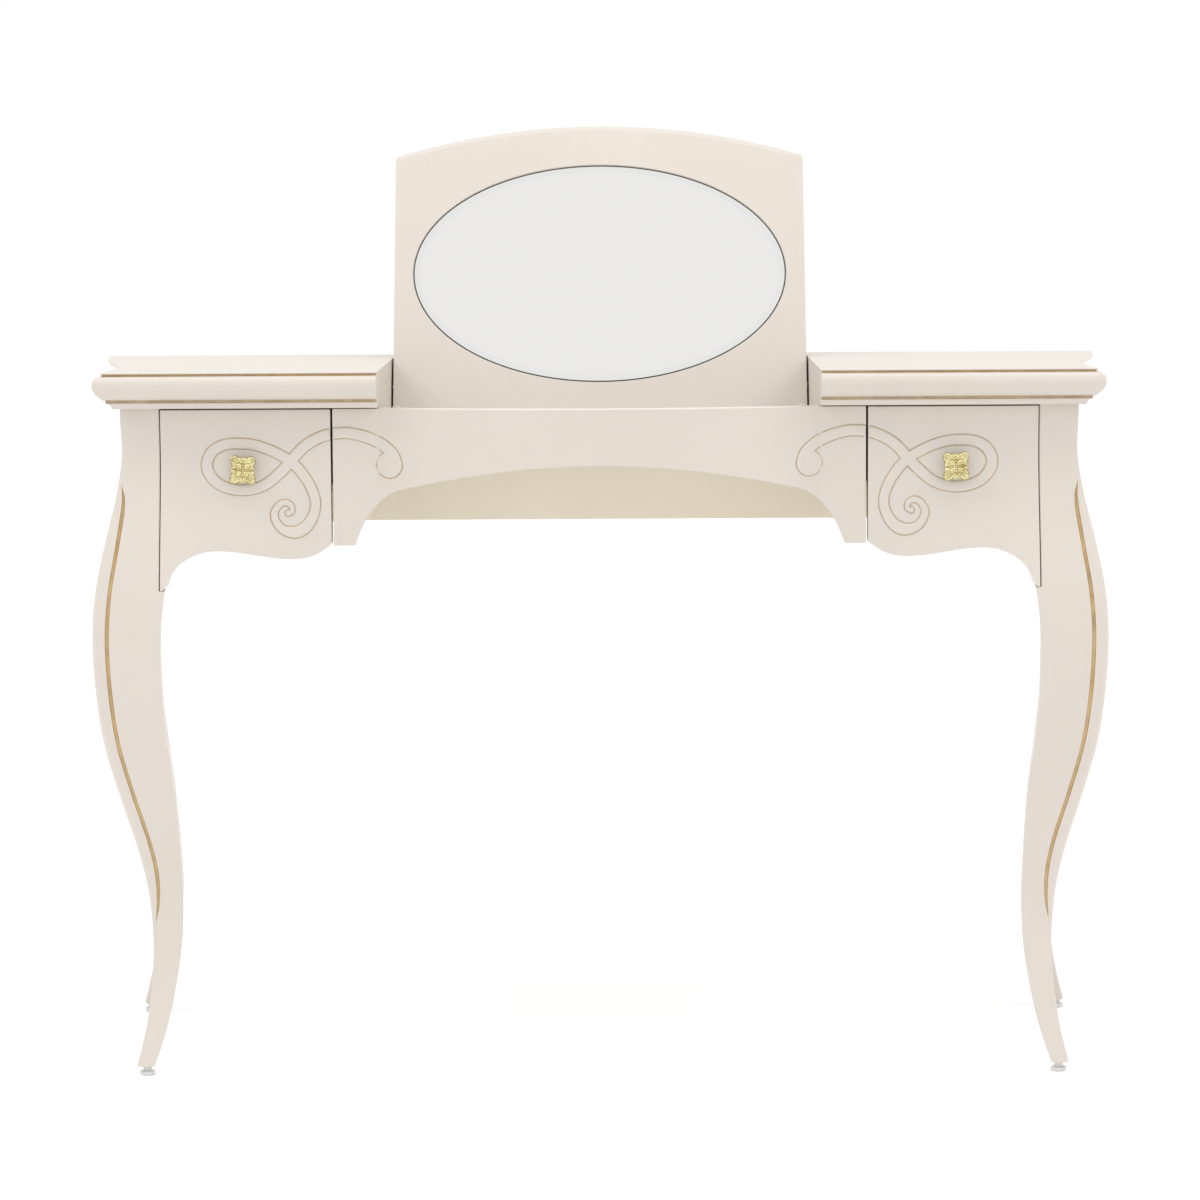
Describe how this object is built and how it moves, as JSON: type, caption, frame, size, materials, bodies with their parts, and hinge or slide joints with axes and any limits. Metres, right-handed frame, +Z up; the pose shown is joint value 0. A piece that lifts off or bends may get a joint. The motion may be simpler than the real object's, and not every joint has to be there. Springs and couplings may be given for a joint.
{
  "type": "dressing table",
  "caption": "Dressing table on curved legs with a drawer at each side and a middle lid that lifts to show an oval mirror and a well.",
  "frame": {"origin": "on the floor, under the middle of the table's box with the lid raised", "axes": "+X to the table's right as seen from the front, +Y from front to back, +Z up"},
  "size_m": [1.2124, 0.4604, 1.0626],
  "materials": {
    "lacquer": "ivory satin lacquer on wood",
    "grey_panel": "lacquered board",
    "pale_wood": "bare pale hardwood",
    "gold_cast": "polished gold-coloured casting",
    "brass_bush": "satin",
    "zinc_steel": "zinc plated",
    "glide_plastic": "pale moulded glide",
    "bumper_pad": "felt",
    "mirror": "silvered glass with a bevelled edge"
  },
  "bodies": {
    "table": {"leg_front_left": "lacquer", "leg_front_right": "lacquer", "leg_rear_left": "lacquer", "leg_rear_right": "lacquer", "glide_front_left": "glide_plastic", "glide_front_right": "glide_plastic", "glide_rear_left": "glide_plastic", "glide_rear_right": "glide_plastic", "centre_apron": "lacquer", "side_apron_left": "lacquer", "side_apron_right": "lacquer", "back_panel": "grey_panel", "top_board_left": "lacquer", "top_board_right": "lacquer", "top_rear_strip": "lacquer", "edge_moulding_left": "lacquer", "edge_moulding_right": "lacquer", "partition_left": "lacquer", "partition_right": "lacquer", "well_floor": "lacquer", "runner_rail_inner_left": "pale_wood", "runner_rail_inner_right": "pale_wood", "runner_rail_outer_left": "pale_wood", "runner_rail_outer_right": "pale_wood", "slide_channel_left": "zinc_steel", "slide_channel_right": "zinc_steel", "fixing_blocks": "pale_wood", "fixing_screws": "zinc_steel", "pivot_bush_left": "brass_bush", "pivot_bush_right": "brass_bush", "lid_bumpers": "bumper_pad"},
    "lid": {"lid_panel": "lacquer", "mirror_board": "lacquer", "mirror_glass": "mirror", "pivot_pin_left": "zinc_steel", "pivot_pin_right": "zinc_steel"},
    "drawer_left": {"drawer_front_left": "lacquer", "drawer_inner_side_left": "pale_wood", "drawer_outer_side_left": "pale_wood", "drawer_back_left": "pale_wood", "drawer_bottom_left": "grey_panel", "slide_runner_left": "zinc_steel", "knob_left": "gold_cast", "knob_screw_left": "zinc_steel"},
    "drawer_right": {"drawer_front_right": "lacquer", "drawer_inner_side_right": "pale_wood", "drawer_outer_side_right": "pale_wood", "drawer_back_right": "pale_wood", "drawer_bottom_right": "grey_panel", "slide_runner_right": "zinc_steel", "knob_right": "gold_cast", "knob_screw_right": "zinc_steel"}
  },
  "joints": [
    {"name": "lid_hinge", "type": "hinge", "parent": "table", "child": "lid", "pos_m": [0, 0.07675, 0.759], "axis": [1, 0, 0], "range_deg": [0, 112]},
    {"name": "drawer_slide_left", "type": "slide", "parent": "table", "child": "drawer_left", "axis": [0, -1, 0], "range_m": [0, 0.23]},
    {"name": "drawer_slide_right", "type": "slide", "parent": "table", "child": "drawer_right", "axis": [0, -1, 0], "range_m": [0, 0.23]}
  ]
}
